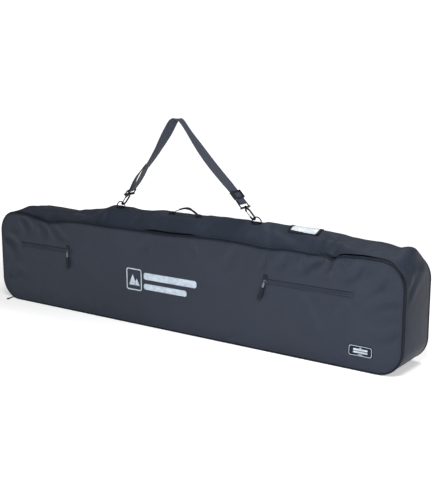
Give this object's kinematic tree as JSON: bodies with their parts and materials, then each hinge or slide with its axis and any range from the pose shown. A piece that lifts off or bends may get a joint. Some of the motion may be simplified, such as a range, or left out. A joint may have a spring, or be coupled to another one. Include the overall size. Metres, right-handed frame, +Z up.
{
  "type": "snowboard bag",
  "caption": "Long padded fabric bag with rounded corners, a zipped fold-down lid, zipped front pockets, a short top handle and a clip-on shoulder strap.",
  "frame": {"origin": "centre of the flat base's underside, midway between the two ends", "axes": "+X along the bag, -Y out of the lid, +Z up"},
  "size_m": [1.65, 0.2165, 0.7109],
  "materials": {
    "outer_fabric": "matt coated polyester weave",
    "lid_fabric": "satin coated polyester weave",
    "base_fabric": "heavy coated weave",
    "foam": "closed-cell foam",
    "lining": "thin woven lining",
    "piping": "woven binding over cord",
    "binding": "woven binding",
    "zip_tape": "herringbone zip tape",
    "zip_coil": "nylon coil",
    "webbing": "ribbed webbing",
    "strap_webbing": "flat ribbed webbing",
    "dark_metal": "black nickel",
    "bright_metal": "worn gunmetal",
    "dark_plastic": "moulded acetal",
    "pull_rubber": "moulded rubber",
    "clear_sheet": "clear vinyl",
    "card": "white card",
    "print": "white screen print"
  },
  "bodies": {
    "bag": {"back_panel": "outer_fabric", "back_foam": "foam", "back_lining": "lining", "gusset_top": "outer_fabric", "gusset_base": "base_fabric", "gusset_left": "outer_fabric", "gusset_right": "outer_fabric", "top_foam": "foam", "base_foam": "foam", "end_foams": "foam", "top_lining": "lining", "band_lining": "lining", "back_piping": "piping", "main_zip_tape_inner": "zip_tape", "main_zip_coil_inner": "zip_coil", "id_window_frame": "binding", "id_window": "clear_sheet", "id_card": "card", "ring_tab_left": "webbing", "ring_tab_right": "webbing", "handle_anchor_left": "webbing", "handle_anchor_right": "webbing"},
    "lid": {"lid_panel": "lid_fabric", "lid_foam": "foam", "lid_lining": "lining", "front_piping": "piping", "main_zip_tape_outer": "zip_tape", "main_zip_coil_outer": "zip_coil", "left_pocket_welt": "lid_fabric", "left_pocket_zip": "zip_coil", "left_pocket_garage": "binding", "left_pocket_bag": "lining", "right_pocket_welt": "lid_fabric", "right_pocket_zip": "zip_coil", "right_pocket_garage": "binding", "right_pocket_bag": "lining", "front_mark": "print", "label_patch": "binding"},
    "left_slider": {"left_slider": "bright_metal"},
    "left_puller": {"left_puller": "bright_metal", "left_pull_tab": "pull_rubber"},
    "right_slider": {"right_slider": "bright_metal"},
    "right_puller": {"right_puller": "bright_metal", "right_pull_tab": "pull_rubber"},
    "main_slider": {"main_slider": "dark_metal"},
    "main_puller": {"main_puller": "dark_metal", "main_pull_tab": "pull_rubber"},
    "ring_left": {"ring_left": "dark_metal"},
    "ring_right": {"ring_right": "dark_metal"},
    "strap": {"strap_webbing": "strap_webbing", "strap_return": "strap_webbing", "hook_eye_left": "dark_metal", "hook_eye_right": "dark_metal"},
    "adjuster": {"strap_adjuster": "dark_plastic"},
    "hook_left": {"hook_left": "dark_metal"},
    "hook_right": {"hook_right": "dark_metal"},
    "gate_left": {"gate_left": "bright_metal"},
    "gate_right": {"gate_right": "bright_metal"},
    "handle": {"handle_webbing": "webbing", "handle_grip": "webbing"}
  },
  "joints": [
    {"name": "lid_hinge", "type": "hinge", "parent": "bag", "child": "lid", "pos_m": [0, -0.092, 0.011], "axis": [1, 0, 0], "range_deg": [0, 90]},
    {"name": "left_zip_slide", "type": "slide", "parent": "lid", "child": "left_slider", "axis": [-1, 0, 0], "range_m": [0, 0.222]},
    {"name": "left_puller_swing", "type": "hinge", "parent": "left_slider", "child": "left_puller", "pos_m": [-0.474, -0.1012, 0.221], "axis": [-1, 0, 0], "range_deg": [0, 150]},
    {"name": "right_zip_slide", "type": "slide", "parent": "lid", "child": "right_slider", "axis": [1, 0, 0], "range_m": [0, 0.282]},
    {"name": "right_puller_swing", "type": "hinge", "parent": "right_slider", "child": "right_puller", "pos_m": [0.364, -0.1012, 0.227], "axis": [-1, 0, 0], "range_deg": [0, 150]},
    {"name": "main_zip_run", "type": "hinge", "parent": "bag", "child": "main_slider", "pos_m": [-0.745, -0.0845, 0.08], "axis": [0, 1, 0], "range_deg": [0, 64]},
    {"name": "main_puller_lift", "type": "hinge", "parent": "main_slider", "child": "main_puller", "pos_m": [-0.78231, -0.0845, 0.00351], "axis": [-0.8988, 0, 0.4384], "range_deg": [0, 12]},
    {"name": "ring_left_swing", "type": "hinge", "parent": "bag", "child": "ring_left", "pos_m": [-0.301, 0, 0.3874], "axis": [1, 0, 0], "range_deg": [-50, 50]},
    {"name": "ring_right_swing", "type": "hinge", "parent": "bag", "child": "ring_right", "pos_m": [0.269, 0, 0.3874], "axis": [1, 0, 0], "range_deg": [-50, 50]},
    {"name": "strap_on_rings", "type": "hinge", "parent": "ring_left", "child": "strap", "pos_m": [-0.2887, 0, 0.40054], "axis": [1, 0, 0], "range_deg": [-12, 12]},
    {"name": "left_hook_swivel", "type": "hinge", "parent": "strap", "child": "hook_left", "pos_m": [-0.2632, 0, 0.43404], "axis": [0.6058, 0, 0.7956], "range_deg": [-20, 20]},
    {"name": "right_hook_swivel", "type": "hinge", "parent": "strap", "child": "hook_right", "pos_m": [0.2276, 0, 0.43096], "axis": [-0.6913, 0, 0.7226], "range_deg": [-20, 20]},
    {"name": "left_gate_press", "type": "hinge", "parent": "hook_left", "child": "gate_left", "pos_m": [-0.27222, -0.0098, 0.42218], "axis": [0.7956, 0, -0.6058], "range_deg": [0, 25], "stiffness_Nm_per_rad": 0.02, "springref_deg": -17.19},
    {"name": "right_gate_press", "type": "hinge", "parent": "hook_right", "child": "gate_right", "pos_m": [0.2379, -0.0098, 0.4202], "axis": [0.7226, 0, 0.6913], "range_deg": [0, 25], "stiffness_Nm_per_rad": 0.02, "springref_deg": -17.19},
    {"name": "adjuster_slide", "type": "slide", "parent": "strap", "child": "adjuster", "axis": [-0.6983, 0, 0.7158], "range_m": [0, 0.15]},
    {"name": "handle_fold", "type": "hinge", "parent": "bag", "child": "handle", "pos_m": [-0.016, 0, 0.391], "axis": [1, 0, 0], "range_deg": [-70, 70]}
  ],
  "couplings": [
    {"joint": "ring_right_swing", "follows": "ring_left_swing", "ratio": 1}
  ]
}
